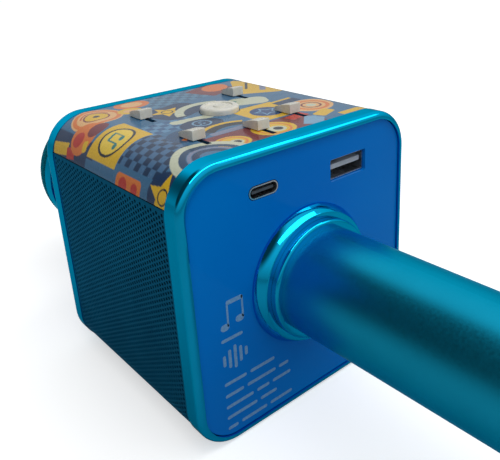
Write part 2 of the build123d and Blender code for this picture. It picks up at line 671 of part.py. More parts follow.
def shell(outer_r, inner_r, from_y, to_y):
    """A stretch of hollow sphere about the ball's centre."""
    def rim(y, radius):
        squared = radius ** 2 - (y - BALL_Y) ** 2
        return (y, sqrt(squared) if squared > 1e-6 else 0.0)

    def arc(radius, start, end):
        ThreePointArc(rim(start, radius), rim((start + end) / 2, radius), rim(end, radius))

    closed = to_y > BALL_Y
    with BuildPart() as piece:
        with BuildSketch(AXIAL):
            with BuildLine():
                arc(outer_r, from_y, BALL_Y + outer_r if closed else to_y)
                arc(inner_r, from_y, BALL_Y + inner_r if closed else to_y)
                Line(rim(from_y, outer_r), rim(from_y, inner_r))
                if closed:
                    Line((BALL_Y + outer_r, 0), (BALL_Y + inner_r, 0))
                else:
                    Line(rim(to_y, outer_r), rim(to_y, inner_r))
            make_face()
        revolve(axis=MIC_AXIS)
    return piece


NECK_END = ball_y(NECK_R)
mesh_lower = shell(BALL_R - LOWER_DROP, INNER_BALL_R - LOWER_DROP, NECK_END, BAND_BACK)
mesh_dome = shell(BALL_R, INNER_BALL_R, BAND_FRONT + 0.001, HEAD_TIP)
foam_liner = shell(FOAM_R, FOAM_R - FOAM_T, NECK_END + 0.3, HEAD_TIP)
head_band = turned([(BAND_BACK, BALL_R - BAND_T), (BAND_BACK, BALL_R - 0.1), (BAND_BACK + 0.4, BALL_R),
                    (BAND_FRONT, BALL_R), (BAND_FRONT, BALL_R - BAND_T)])
head_collar = collar(FACE_FAR, 1)
head_ferrule = ferrule(FACE_FAR, 1)

NECK_WAIST = FACE_FAR + FERRULE_T + 2
NECK_RIM_R = NECK_R + 0.6
NECK_RIM_START = NECK_END - 2
NECK_WALL = 1.8
with BuildPart() as head_neck:
    with BuildSketch(AXIAL):
        with BuildLine():
            Line((NECK_START, SEAT_R), (NECK_WAIST, SEAT_R))
            TangentArc((NECK_WAIST, SEAT_R), (NECK_RIM_START, NECK_RIM_R), tangent=(1, 0))
            Polyline([(NECK_RIM_START, NECK_RIM_R), (NECK_END, NECK_RIM_R), (NECK_END, NECK_RIM_R - NECK_WALL),
                      (NECK_RIM_START, NECK_RIM_R - NECK_WALL), (NECK_WAIST, TUBE_INNER_R),
                      (NECK_START, TUBE_INNER_R), (NECK_START, SEAT_R)])
        make_face()
    revolve(axis=MIC_AXIS)

STEM_BACK = FACE_FAR - WALL_BACK
CAPSULE_Y = BALL_Y - 6
MOUNT_START = CAPSULE_Y - MOUNT_BACK
CAPSULE_START = MOUNT_START + MOUNT_FLOOR
with BuildPart() as head_core:
    with BuildSketch(AXIAL):
        with BuildLine():
            Polyline([(STEM_BACK - CORE_FLANGE_T, BORE_R), (STEM_BACK - CORE_FLANGE_T, CORE_FLANGE_R),
                      (STEM_BACK, CORE_FLANGE_R), (STEM_BACK, CORE_R), (STEM_BACK + HEAD_CORE_SEAT, CORE_R),
                      (STEM_BACK + HEAD_CORE_SEAT, HEAD_STEM_R), (MOUNT_START, HEAD_STEM_R),
                      (MOUNT_START, BORE_R)], close=True)
        make_face()
    revolve(axis=MIC_AXIS)
    with BuildSketch(station(STEM_BACK - CORE_FLANGE_T)):
        with PolarLocations(CORE_SCREW_PCD / 2, 4, start_angle=45):
            Circle(SCREW_R)
    extrude(amount=-CORE_FLANGE_T, mode=Mode.SUBTRACT)

capsule_mount = turned([(MOUNT_START, 0), (MOUNT_START, MOUNT_R), (CAPSULE_Y + MOUNT_FRONT, MOUNT_R),
                        (CAPSULE_Y + MOUNT_FRONT, CAPSULE_R + CAPSULE_GAP),
                        (CAPSULE_START, CAPSULE_R + CAPSULE_GAP), (CAPSULE_START, 0)])
mic_capsule = turned([(CAPSULE_START, 0), (CAPSULE_START, CAPSULE_R), (CAPSULE_START + CAPSULE_T, CAPSULE_R),
                      (CAPSULE_START + CAPSULE_T, 0)])


# ---- Fasteners -------------------------------------------------------------------------

frame_screws_near = screws(station(FACE_NEAR + WALL_FRONT + SCREW_HEAD_T), CORNERS, FRAME_SCREW_LENGTH, head=1)
frame_screws_far = screws(station(FACE_FAR - WALL_FRONT - SCREW_HEAD_T), CORNERS, FRAME_SCREW_LENGTH, head=-1)
SQUARE_45 = CORE_SCREW_PCD / 2 / sqrt(2)
CORE_PLACES = [(x, z) for x in (-SQUARE_45, SQUARE_45) for z in (-SQUARE_45, SQUARE_45)]
handle_screws = screws(station(CORE_BACK + CORE_FLANGE_T), CORE_PLACES, CORE_FLANGE_T + WALL_T, head=-1)
head_screws = screws(station(STEM_BACK - CORE_FLANGE_T), CORE_PLACES, CORE_FLANGE_T + WALL_T, head=1)
BOSS_PLACES = [(x, y) for x in (-BOSS_X, BOSS_X) for y in (-BOSS_Y, BOSS_Y)]
STANDOFF_PLACES = [(x, y) for x in (-STANDOFF_X, STANDOFF_X) for y in (-STANDOFF_Y, STANDOFF_Y)]
control_board_screws = screws(level(CONTROL_BOARD_Z), BOSS_PLACES, BOARD_SCREW_LENGTH, head=-1)
main_board_screws = screws(level(MAIN_BOARD_Z + BOARD_T), STANDOFF_PLACES, STANDOFF_SCREW_LENGTH, head=1)


# ---- One STEP file for each piece ------------------------------------------------------

pieces = {
    "near_frame": near_frame,
    "far_frame": far_frame,
    "end_panel": end_panel,
    "head_panel": head_panel,
    "front_cover": front_cover,
    "speaker_grille": speaker_grille,
    "cabinet": cabinet,
    **speakers,
    "control_board": control_board,
    "slide_pots": slide_pots,
    **knobs,
    "power_button": power_button,
    "switch_body": switch_body,
    "switch_plunger": switch_plunger,
    "main_board": main_board,
    "usb_c_shell": usb_c_shell,
    "usb_c_tongue": usb_c_tongue,
    "usb_a_shell": usb_a_shell,
    "usb_a_tongue": usb_a_tongue,
    "collar_ring": collar_ring,
    "handle_ferrule": handle_ferrule,
    "handle_tube": handle_tube,
    "handle_core": handle_core,
    "battery_cell": battery_cell,
    "handle_end_ring": handle_end_ring,
    "handle_end_cap": handle_end_cap,
    "head_collar": head_collar,
    "head_ferrule": head_ferrule,
    "head_neck": head_neck,
    "head_core": head_core,
    "mesh_lower": mesh_lower,
    "head_band": head_band,
    "mesh_dome": mesh_dome,
    "foam_liner": foam_liner,
    "capsule_mount": capsule_mount,
    "mic_capsule": mic_capsule,
    "frame_screws_near": frame_screws_near,
    "frame_screws_far": frame_screws_far,
    "handle_screws": handle_screws,
    "head_screws": head_screws,
    "control_board_screws": control_board_screws,
    "main_board_screws": main_board_screws,
}

for name, piece in pieces.items():
    piece.part.label = name
    export_step(piece.part, f"parts/{name}.step")
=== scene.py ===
import json
from math import asin, cos, pi, radians, sin

import bpy
import numpy as np
from mathutils import Matrix, Vector


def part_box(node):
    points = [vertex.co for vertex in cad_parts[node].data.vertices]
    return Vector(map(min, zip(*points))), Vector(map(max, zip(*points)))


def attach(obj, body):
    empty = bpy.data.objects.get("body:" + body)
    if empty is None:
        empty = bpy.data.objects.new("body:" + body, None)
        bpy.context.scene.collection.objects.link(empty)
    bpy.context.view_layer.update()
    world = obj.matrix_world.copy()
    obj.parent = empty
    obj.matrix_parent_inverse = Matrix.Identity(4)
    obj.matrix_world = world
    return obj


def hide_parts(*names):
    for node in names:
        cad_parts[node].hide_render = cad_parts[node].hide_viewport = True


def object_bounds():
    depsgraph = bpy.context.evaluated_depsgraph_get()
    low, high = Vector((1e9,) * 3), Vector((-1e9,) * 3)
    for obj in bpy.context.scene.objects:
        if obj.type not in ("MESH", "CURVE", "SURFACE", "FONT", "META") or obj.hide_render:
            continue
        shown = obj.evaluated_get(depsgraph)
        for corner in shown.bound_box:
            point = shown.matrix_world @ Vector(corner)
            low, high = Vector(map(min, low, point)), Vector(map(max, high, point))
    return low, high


# Looks of a handheld karaoke microphone whose cube loudspeaker lies on its flat back.
# Everything is in metres, in the frame of the CAD model: +Z comes up out of the printed
# control face, +Y runs from the handle to the head, and X runs across.

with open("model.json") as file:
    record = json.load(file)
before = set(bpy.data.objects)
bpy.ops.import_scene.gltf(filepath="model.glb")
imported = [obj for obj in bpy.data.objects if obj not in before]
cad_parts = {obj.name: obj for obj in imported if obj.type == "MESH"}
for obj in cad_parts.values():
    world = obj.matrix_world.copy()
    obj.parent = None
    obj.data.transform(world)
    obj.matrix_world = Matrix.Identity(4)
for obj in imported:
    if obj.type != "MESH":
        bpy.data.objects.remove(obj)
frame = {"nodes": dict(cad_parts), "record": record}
cad_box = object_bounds()

MM = 0.001
SHELL = "shell"

# ---- Places taken from the frame -------------------------------------------------------

panel_low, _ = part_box("end_panel")
cover_low, cover_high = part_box("front_cover")
grille_low, grille_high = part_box("speaker_grille")
rim_low, rim_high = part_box("near_frame")
dome_low, dome_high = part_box("mesh_dome")
lower_low, lower_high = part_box("mesh_lower")

AXIS_Z = (rim_low.z + rim_high.z) / 2           # height of the microphone's axis
CUBE_CORNER = 12 * MM                           # radius of the cube's long edges
CUBE_HALF = (rim_high.x - rim_low.x) / 2
MIDDLE_Y = (cover_low.y + cover_high.y) / 2     # middle of the cube along the microphone
CONTROLS = ("music_volume", "mic_volume", "bass", "treble", "echo")


# ---- Small tools -----------------------------------------------------------------------

def linear(red, green, blue):
    """A colour given as three sRGB values of 0 to 255, in the linear values that shaders take."""
    def channel(value):
        value /= 255
        return value / 12.92 if value <= 0.04045 else ((value + 0.055) / 1.055) ** 2.4
    return (channel(red), channel(green), channel(blue), 1.0)


def mesh_object(name, points, faces, smooth=False):
    """An object with this mesh, linked to the scene."""
    mesh = bpy.data.meshes.new(name)
    mesh.from_pydata([tuple(p) for p in points], [], faces)
    if smooth:
        mesh.shade_smooth()
    piece = bpy.data.objects.new(name, mesh)
    bpy.context.scene.collection.objects.link(piece)
    return piece


def socket(sockets, name):
    """The socket of that name in use, since a node can have one of each type under one name."""
    return next(s for s in sockets if s.name == name and s.enabled)


def around(distance, half, corner):
    """Points (x, z) and outward normals on a rounded square.

    The distance runs along its outline, from the middle of the top towards +X.
    """
    flat = half - corner
    side_length = 2 * flat + corner * pi / 2
    side = np.round(distance / side_length)
    along = distance - side * side_length
    turn = np.clip((np.abs(along) - flat) / corner, 0, None)
    sign = np.sign(along)
    x = np.where(turn > 0, sign * (flat + corner * np.sin(turn)), along)
    z = flat + corner * np.cos(turn)
    normal_x, normal_z = sign * np.sin(turn), np.cos(turn)
    angle = side * pi / 2
    c, s = np.cos(angle), np.sin(angle)
    return (x * c + z * s, z * c - x * s), (normal_x * c + normal_z * s, normal_z * c - normal_x * s)


# ---- Materials -------------------------------------------------------------------------

class Finish:
    """A Principled material, with short ways to vary its colour, roughness and relief."""

    def __init__(self, name, constants):
        self.material = bpy.data.materials.new(name)
        self.material.use_nodes = True
        self.tree = self.material.node_tree
        self.shader = self.tree.nodes["Principled BSDF"]
        self.place = self.node("TexCoord").outputs["Object"]
        for input_name, value in constants.items():
            self.shader.inputs[input_name].default_value = value

    def node(self, kind, **settings):
        made = self.tree.nodes.new("ShaderNode" + kind)
        for key, value in settings.items():
            setattr(made, key, value)
        return made

    def link(self, source, target):
        self.tree.links.new(source, target)

    def noise(self, size, detail=3.0, stretch=(1, 1, 1)):
        """Noise whose features are about this size in metres; stretch makes them longer along an axis."""
        mapping = self.node("Mapping")
        mapping.inputs["Scale"].default_value = [1 / (size * s) for s in stretch]
        self.link(self.place, mapping.inputs["Vector"])
        texture = self.node("TexNoise")
        texture.inputs["Scale"].default_value = 1.0
        texture.inputs["Detail"].default_value = detail
        self.link(mapping.outputs["Vector"], texture.inputs["Vector"])
        return texture.outputs["Fac"]

    def cells(self, size):
        """Distance from the middle of random cells of this size."""
        texture = self.node("TexVoronoi")
        texture.inputs["Scale"].default_value = 1 / size
        self.link(self.place, texture.inputs["Vector"])
        return texture.outputs["Distance"]

    def colours(self, factor, *stops):
        """Base colour from a ramp of (position, colour)."""
        ramp = self.node("ValToRGB")
        elements = ramp.color_ramp.elements
        while len(elements) < len(stops):
            elements.new(0.5)
        for element, (position, colour) in zip(elements, stops):
            element.position = position
            element.color = colour
        self.link(factor, ramp.inputs["Fac"])
        self.link(ramp.outputs["Color"], self.shader.inputs["Base Color"])
        return self

    def tinted(self, colour, factor, low, high):
        """Base colour from another colour, made darker or lighter between low and high by the factor."""
        shade = self.between(factor, low, high)
        mix = self.node("Mix", data_type="RGBA", blend_type="MULTIPLY")
        socket(mix.inputs, "Factor").default_value = 1.0
        self.link(colour, socket(mix.inputs, "A"))
        self.link(shade, socket(mix.inputs, "B"))
        self.link(socket(mix.outputs, "Result"), self.shader.inputs["Base Color"])
        return self

    def between(self, factor, low, high):
        spread = self.node("MapRange")
        spread.inputs["From Min"].default_value = 0.3
        spread.inputs["From Max"].default_value = 0.7
        spread.inputs["To Min"].default_value = low
        spread.inputs["To Max"].default_value = high
        self.link(factor, spread.inputs["Value"])
        return spread.outputs["Result"]

    def rough(self, factor, low, high):
        self.link(self.between(factor, low, high), self.shader.inputs["Roughness"])
        return self

    def relief(self, *layers):
        """Bumps, each a (height map, height in metres)."""
        below = None
        for height, distance in layers:
            bump = self.node("Bump")
            bump.inputs["Distance"].default_value = distance
            self.link(height, bump.inputs["Height"])
            if below:
                self.link(below, bump.inputs["Normal"])
            below = bump.outputs["Normal"]
        self.link(below, self.shader.inputs["Normal"])
        return self


def frame_chrome():
    """Teal-blue mirror plating on moulded plastic, with a faint ripple and a few smudges."""
    finish = Finish("frame_chrome", {"Metallic": 1.0, "Specular Tint": (0.2, 0.85, 1.0, 1.0)})
    finish.colours(finish.noise(30 * MM), (0.35, (0.004, 0.40, 0.70, 1)), (0.65, (0.006, 0.46, 0.78, 1)))
    finish.rough(finish.noise(5 * MM, 5), 0.03, 0.09)
    return finish.relief((finish.noise(12 * MM, 1), 0.02 * MM), (finish.noise(1.5 * MM, 2), 0.0006 * MM))


def panel_blue():
    """Clear glossy sheet with blue behind it."""
    finish = Finish("panel_blue", {"Specular Tint": (0.0, 0.6, 1.0, 1.0), "IOR": 1.4,
                                   "Specular IOR Level": 0.2})
    finish.colours(finish.noise(45 * MM, 1),
                   (0.3, (0.0004, 0.165, 0.60, 1)), (0.7, (0.0006, 0.200, 0.66, 1)))
    finish.rough(finish.noise(8 * MM, 5), 0.05, 0.13)
    return finish.relief((finish.noise(15 * MM, 1), 0.01 * MM))


def printed_cover():
    """The bare moulding under the print, seen at its edges and in the slots."""
    finish = Finish("printed_cover", {"IOR": 1.5})
    finish.colours(finish.noise(6 * MM), (0.3, linear(34, 74, 108)), (0.7, linear(40, 84, 120)))
    finish.rough(finish.noise(1.5 * MM), 0.28, 0.40)
    return finish.relief((finish.noise(0.4 * MM, 2), 0.004 * MM))


def print_film():
    """Printed film under clear gloss: colours painted on the mesh, in slightly uneven ink."""
    finish = Finish("print_film", {"IOR": 1.45, "Specular IOR Level": 0.32, "Coat Weight": 0.25,
                                   "Coat Roughness": 0.06})
    painted = finish.node("VertexColor", layer_name="print")
    finish.tinted(painted.outputs["Color"], finish.noise(0.5 * MM, 4), 0.93, 1.06)
    finish.rough(finish.noise(3 * MM, 4), 0.16, 0.30)
    return finish.relief((finish.noise(9 * MM, 1), 0.012 * MM), (finish.noise(0.35 * MM, 2), 0.0006 * MM))


def panel_ink():
    """Pale screen-printed marks."""
    finish = Finish("panel_ink", {"IOR": 1.4})
    finish.colours(finish.noise(0.6 * MM, 4), (0.3, linear(96, 146, 196)), (0.7, linear(128, 172, 212)))
    finish.rough(finish.noise(0.8 * MM), 0.35, 0.5)
    return finish.relief((finish.noise(0.3 * MM, 2), 0.001 * MM))


def grille_paint():
    """Satin blue paint on punched steel."""
    finish = Finish("grille_paint", {"Metallic": 0.9, "Specular Tint": (0.2, 0.7, 1.0, 1.0)})
    finish.colours(finish.noise(14 * MM), (0.3, (0.008, 0.125, 0.225, 1)), (0.7, (0.011, 0.155, 0.27, 1)))
    finish.rough(finish.noise(1.2 * MM, 4), 0.30, 0.44)
    return finish.relief((finish.noise(0.25 * MM, 2), 0.003 * MM))


def handle_satin():
    """Bead-blasted tube with clear blue anodising."""
    finish = Finish("handle_satin", {"Metallic": 1.0, "Specular Tint": (0.3, 0.8, 1.0, 1.0)})
    finish.colours(finish.noise(25 * MM), (0.3, (0.008, 0.36, 0.56, 1)), (0.7, (0.011, 0.42, 0.64, 1)))
    finish.rough(finish.noise(0.6 * MM, 5), 0.30, 0.38)
    return finish.relief((finish.noise(0.14 * MM, 3), 0.0025 * MM))


def mesh_teal():
    """Metallic teal paint on the head's wire."""
    finish = Finish("mesh_teal", {"Metallic": 0.9, "Specular Tint": (0.2, 0.8, 1.0, 1.0)})
    finish.colours(finish.noise(5 * MM), (0.3, (0.006, 0.20, 0.27, 1)), (0.7, (0.010, 0.26, 0.34, 1)))
    finish.rough(finish.noise(0.5 * MM, 3), 0.22, 0.36)
    return finish.relief((finish.noise(0.15 * MM, 2), 0.002 * MM))


def cream():
    """Off-white moulded knobs."""
    finish = Finish("cream", {"IOR": 1.5, "Subsurface Weight": 0.15, "Subsurface Radius": (0.8, 0.7, 0.5),
                              "Subsurface Scale": 0.6 * MM})
    finish.colours(finish.noise(2 * MM, 4), (0.3, linear(222, 218, 204)), (0.7, linear(236, 233, 222)))
    finish.rough(finish.noise(0.7 * MM, 3), 0.24, 0.36)
    return finish.relief((finish.noise(0.3 * MM, 2), 0.003 * MM))


def steel():
    """Plain steel, brushed along Y."""
    finish = Finish("steel", {"Metallic": 1.0})
    finish.colours(finish.noise(1.5 * MM, 4, (1, 8, 1)),
                   (0.3, (0.50, 0.51, 0.53, 1)), (0.7, (0.66, 0.66, 0.67, 1)))
    finish.rough(finish.noise(0.5 * MM, 3, (1, 8, 1)), 0.22, 0.38)
    return finish.relief((finish.noise(0.2 * MM, 2, (1, 12, 1)), 0.002 * MM))


def moulded(name, dark, light, grain, low, high, height=0.01):
    """Plain plastic, card or rubber: two close colours, a grain in metres and a roughness range."""
    finish = Finish(name, {"IOR": 1.48})
    finish.colours(finish.noise(grain * 6), (0.3, linear(*dark)), (0.7, linear(*light)))
    finish.rough(finish.noise(grain, 4), low, high)
    return finish.relief((finish.noise(grain, 3), height * MM))


def foam():
    """Open-cell foam behind the wire."""
    finish = Finish("foam", {"Sheen Weight": 0.3, "Sheen Roughness": 0.6})
    pores = finish.cells(0.9 * MM)
    # Painted shade: the colour darkens towards the middle of each pore, where the bump below makes a pit.
    finish.colours(pores, (0.15, linear(4, 10, 14)), (0.6, linear(16, 42, 54)))
    finish.rough(finish.noise(1 * MM), 0.85, 0.98)
    return finish.relief((pores, 0.4 * MM))


FINISHES = {
    "frame_chrome": frame_chrome(),
    "panel_blue": panel_blue(),
    "printed_cover": printed_cover(),
    "grille_paint": grille_paint(),
    "inner_black": moulded("inner_black", (3, 16, 24), (7, 26, 38), 0.6 * MM, 0.45, 0.7),
    "steel": steel(),
    "cone_black": moulded("cone_black", (10, 12, 15), (20, 23, 27), 0.4 * MM, 0.7, 0.9, 0.03),
    "magnet": moulded("magnet", (38, 38, 41), (58, 58, 62), 0.5 * MM, 0.4, 0.6),
    "board": moulded("board", (6, 62, 34), (10, 78, 44), 1.2 * MM, 0.3, 0.5),
    "cream": cream(),
    "port_grey": moulded("port_grey", (168, 172, 180), (196, 199, 206), 0.4 * MM, 0.3, 0.5, 0.004),
    "port_dark": moulded("port_dark", (62, 66, 72), (82, 86, 92), 0.4 * MM, 0.3, 0.5, 0.004),
    "handle_satin": handle_satin(),
    "cell_wrap": moulded("cell_wrap", (20, 92, 60), (28, 110, 72), 1 * MM, 0.25, 0.4),
    "mesh_teal": mesh_teal(),
    "foam": foam(),
    "rubber_black": moulded("rubber_black", (9, 9, 10), (18, 18, 20), 0.5 * MM, 0.6, 0.85),
}


def paint(piece, finish):
    piece.data.materials.clear()
    piece.data.materials.append(finish.material)


for part in frame["record"]["subparts"]:
    paint(frame["nodes"][part["node"]], FINISHES[part["material_slot"]])


# ---- Punched grille --------------------------------------------------------------------

HOLE_PITCH = 1.4 * MM           # between holes around the cube
COLUMN_PITCH = HOLE_PITCH * 3 ** 0.5 / 2
HOLE_R = 0.44 * MM
PLAIN_EDGE = 0.9 * MM           # no hole's middle lies closer to the sheet's edge
SHEET_T = 0.6 * MM
HEX_CORNER = HOLE_PITCH / 3 ** 0.5


def grille_half(side):
    """One half of the bent sheet, from the middle of the cube's back up to the cover; side is -1 or 1."""
    half = grille_high.x
    corner = CUBE_CORNER - (CUBE_HALF - half)
    flat = half - corner
    top = grille_high.z - AXIS_Z
    length = 3 * flat + corner * pi / 2 + corner * asin((top - flat) / corner)
    start_y, end_y = grille_low.y, grille_high.y
    columns = int((end_y - start_y - 2 * PLAIN_EDGE) / COLUMN_PITCH)
    first_y = (start_y + end_y - columns * COLUMN_PITCH) / 2
    rows = int(length / HOLE_PITCH) + 2

    flat_points, lookup, faces, rim_edges = [], {}, [], {}

    def point(u, y, layer):
        u, y = min(max(u, 0.0), length), min(max(y, start_y), end_y)
        key = (round(u * 1e7), round(y * 1e7), layer)
        if key not in lookup:
            lookup[key] = len(flat_points)
            flat_points.append((u, y, layer))
        return lookup[key]

    def add_face(corners):
        kept = [c for i, c in enumerate(corners) if c != corners[i - 1]]
        if len(kept) >= 3:
            faces.append(kept)

    for column in range(-1, columns + 2):
        y = first_y + column * COLUMN_PITCH
        shift = 0.5 if column % 2 else 0.0
        for row in range(-1, rows):
            u = (row + shift + 0.5) * HOLE_PITCH
            corners = [(u + HEX_CORNER * cos(pi / 6 + k * pi / 3),
                        y + HEX_CORNER * sin(pi / 6 + k * pi / 3)) for k in range(6)]
            outer = [point(*c, 0) for c in corners]
            inner = [point(*c, 1) for c in corners]
            if len(set(outer)) < 3:
                continue
            for k in range(6):
                edge = (outer[k], outer[(k + 1) % 6])
                if edge[0] != edge[1]:
                    rim_edges[edge] = (inner[k], inner[(k + 1) % 6])
            holed = (PLAIN_EDGE <= u <= length - PLAIN_EDGE
                     and start_y + PLAIN_EDGE <= y <= end_y - PLAIN_EDGE)
            if not holed:
                add_face(outer)
                add_face(inner[::-1])
                continue
            ring = [point(u + HOLE_R * cos(pi / 6 + k * pi / 6), y + HOLE_R * sin(pi / 6 + k * pi / 6), 0)
                    for k in range(12)]
            back = [point(u + HOLE_R * cos(pi / 6 + k * pi / 3), y + HOLE_R * sin(pi / 6 + k * pi / 3), 1)
                    for k in range(6)]
            for k in range(6):
                after = (k + 1) % 6
                here, between, there = ring[2 * k], ring[2 * k + 1], ring[(2 * k + 2) % 12]
                faces.append([outer[k], outer[after], there, between, here])
                faces.append([here, between, there, back[after], back[k]])
                faces.append([back[k], back[after], inner[after], inner[k]])
    for (a, b), (inner_a, inner_b) in rim_edges.items():
        if (b, a) not in rim_edges:
            faces.append([b, a, inner_a, inner_b])

    u, y, layer = np.array(flat_points).T
    middle_of_back = 2 * (2 * flat + corner * pi / 2)
    (x, z), (normal_x, normal_z) = around(middle_of_back - u, half, corner)
    points = np.stack([side * (x - normal_x * SHEET_T * layer), y,
                       AXIS_Z + z - normal_z * SHEET_T * layer], 1)
    if side < 0:
        faces = [face[::-1] for face in faces]
    name = "speaker_grille_right" if side > 0 else "speaker_grille_left"
    piece = mesh_object(name, points, faces)
    paint(piece, FINISHES["grille_paint"])
    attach(piece, SHELL)
    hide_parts("speaker_grille")


for side in (-1, 1):
    grille_half(side)


# ---- Woven wire on the head ------------------------------------------------------------

WIRE_R = 0.2 * MM
WEAVE = 0.17 * MM               # how far a wire passes above or below its middle line
WIRE_PITCH = 1.2 * MM
DOME_R = (dome_high.x - dome_low.x) / 2
BALL_Y = dome_high.y - DOME_R


def woven(name, node, paths, closed_paths=()):
    """Wires along these paths, as one mesh that stands for the CAD node."""
    curve = bpy.data.curves.new(name, "CURVE")
    curve.dimensions = "3D"
    curve.bevel_depth = WIRE_R
    curve.bevel_resolution = 1
    curve.use_fill_caps = True
    for path, closed in [(p, False) for p in paths] + [(p, True) for p in closed_paths]:
        spline = curve.splines.new("POLY")
        spline.points.add(len(path) - 1)
        spline.points.foreach_set("co", np.c_[path, np.ones(len(path))].ravel())
        spline.use_cyclic_u = closed
    holder = bpy.data.objects.new(name + "_line", curve)
    bpy.context.scene.collection.objects.link(holder)
    mesh = bpy.data.meshes.new_from_object(holder.evaluated_get(bpy.context.evaluated_depsgraph_get()))
    bpy.data.objects.remove(holder)
    mesh.shade_smooth()
    piece = bpy.data.objects.new(name, mesh)
    bpy.context.scene.collection.objects.link(piece)
    paint(piece, FINISHES["mesh_teal"])
    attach(piece, SHELL)
    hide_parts(node)


def dome_wires():
    """A flat weave pressed into a half ball: distance from the tip becomes an angle on the ball."""
    radius = DOME_R - WIRE_R - WEAVE
    reach = DOME_R * pi / 2 - WIRE_R
    count = int(reach / WIRE_PITCH)
    paths = []
    for family in (0, 1):
        for k in range(-count, count + 1):
            across = k * WIRE_PITCH
            end = (reach ** 2 - across ** 2) ** 0.5
            steps = int(end / WIRE_PITCH * 2)
            along = np.r_[-end, np.arange(-steps, steps + 1) * WIRE_PITCH / 2, end]
            over = (-1) ** (k + family) * WEAVE * np.cos(pi * along / WIRE_PITCH)
            u, v = (np.full_like(along, across), along) if family else (along, np.full_like(along, across))
            from_tip = np.hypot(u, v)
            angle = from_tip / DOME_R
            share = np.where(from_tip > 0, np.sin(angle) / np.maximum(from_tip, 1e-9), 0)
            out = radius + over
            paths.append(np.stack([out * share * u, BALL_Y + out * np.cos(angle),
                                   AXIS_Z + out * share * v], 1))
    return paths


def lower_wires():
    """Wires along and around the ball between the neck and the band."""
    radius = (lower_high.x - lower_low.x) / 2 / cos(asin((BALL_Y - lower_high.y) / DOME_R)) - WIRE_R - WEAVE
    first, last = (asin((y - BALL_Y) / radius) for y in (lower_low.y + WIRE_R, lower_high.y - WIRE_R))
    rings = int((last - first) * radius / WIRE_PITCH)
    meridians = 2 * int(pi * radius * cos(first) / WIRE_PITCH / 1.1)
    meridian_paths, ring_paths = [], []
    for m in range(meridians):
        turn = 2 * pi * m / meridians
        tilt = np.linspace(first, last, 2 * rings + 1)
        out = radius + WEAVE * np.cos(pi * (np.arange(2 * rings + 1) / 2 + m))
        meridian_paths.append(np.stack([out * np.cos(tilt) * cos(turn), BALL_Y + out * np.sin(tilt),
                                        AXIS_Z + out * np.cos(tilt) * sin(turn)], 1))
    for r in range(rings + 1):
        tilt = first + (last - first) * r / rings
        turns = np.arange(2 * meridians) * pi / meridians
        out = radius - WEAVE * np.cos(pi * (np.arange(2 * meridians) / 2 + r))
        ring_paths.append(np.stack([out * cos(tilt) * np.cos(turns), BALL_Y + out * sin(tilt),
                                    AXIS_Z + out * cos(tilt) * np.sin(turns)], 1))
    return meridian_paths, ring_paths


woven("mesh_dome_wire", "mesh_dome", dome_wires())
woven("mesh_lower_wire", "mesh_lower", *lower_wires())


# ---- Printed film on the control cover -------------------------------------------------

FILM_STEP = 0.24 * MM
FILM_T = 0.03 * MM
SLOT_HALF_X, SLOT_HALF_Y = 0.75 * MM, 4.3 * MM
BUTTON_HOLE_R = 5.85 * MM
COVER_EDGE = 28.9 * MM          # height of the cover's long edges above the axis

SLATE, SLATE_LIGHT, NAVY, TEAL = (58, 112, 152), (92, 144, 182), (14, 52, 92), (40, 128, 128)
YELLOW, ORANGE, PEACH = (232, 186, 34), (228, 122, 44), (238, 184, 120)
RED, MAROON, COBALT = (198, 52, 40), (122, 38, 48), (18, 66, 122)
CREAM, LILAC, SKY, INK = (206, 210, 184), (128, 136, 164), (126, 172, 204), (10, 30, 48)
INK_EDGE = 0.12                 # width of a shape's soft edge, in millimetres


